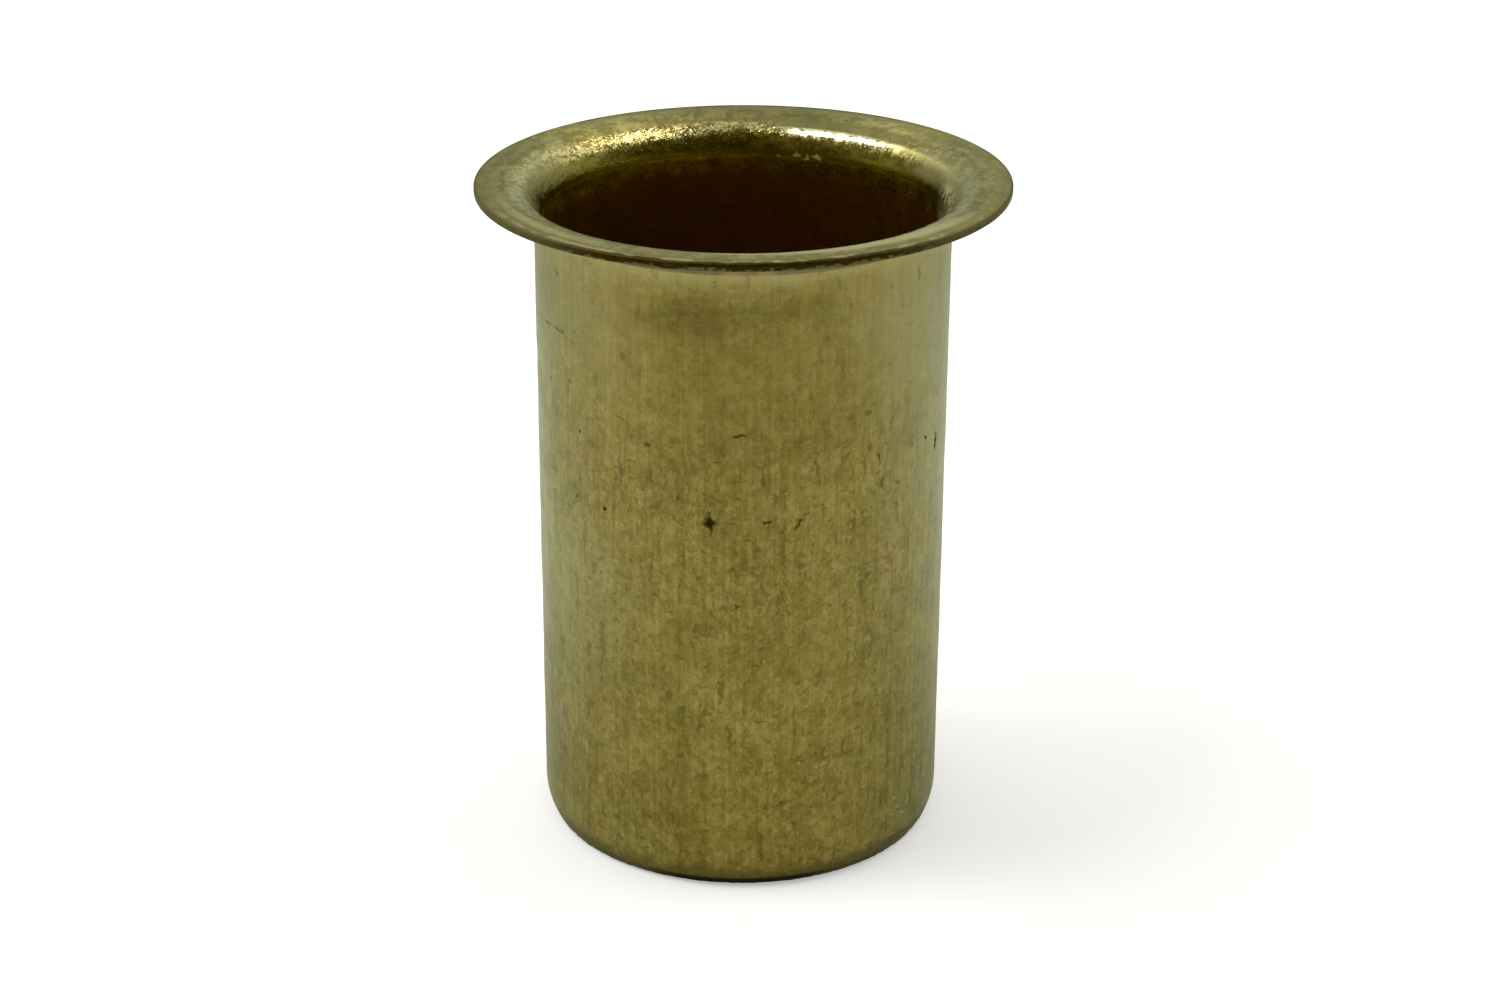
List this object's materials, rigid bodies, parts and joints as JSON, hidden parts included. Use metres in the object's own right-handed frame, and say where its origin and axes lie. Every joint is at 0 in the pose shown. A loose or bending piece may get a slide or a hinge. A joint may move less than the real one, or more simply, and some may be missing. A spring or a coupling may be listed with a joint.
{
  "type": "tube insert",
  "caption": "Thin drawn brass sleeve with an out-turned flange and a slightly closed-in nose, pushed into the end of plastic tube so that a compression fitting cannot crush it.",
  "frame": {"origin": "centre of the foot, on the surface that the insert stands on", "axes": "+Z along the sleeve's axis, from the foot towards the flange"},
  "size_m": [0.0159, 0.0158, 0.0205],
  "materials": {
    "brass": "satin, with fine draw lines along the sleeve and a light mottled tarnish"
  },
  "bodies": {
    "root": {"tube_insert": "brass"}
  },
  "joints": []
}
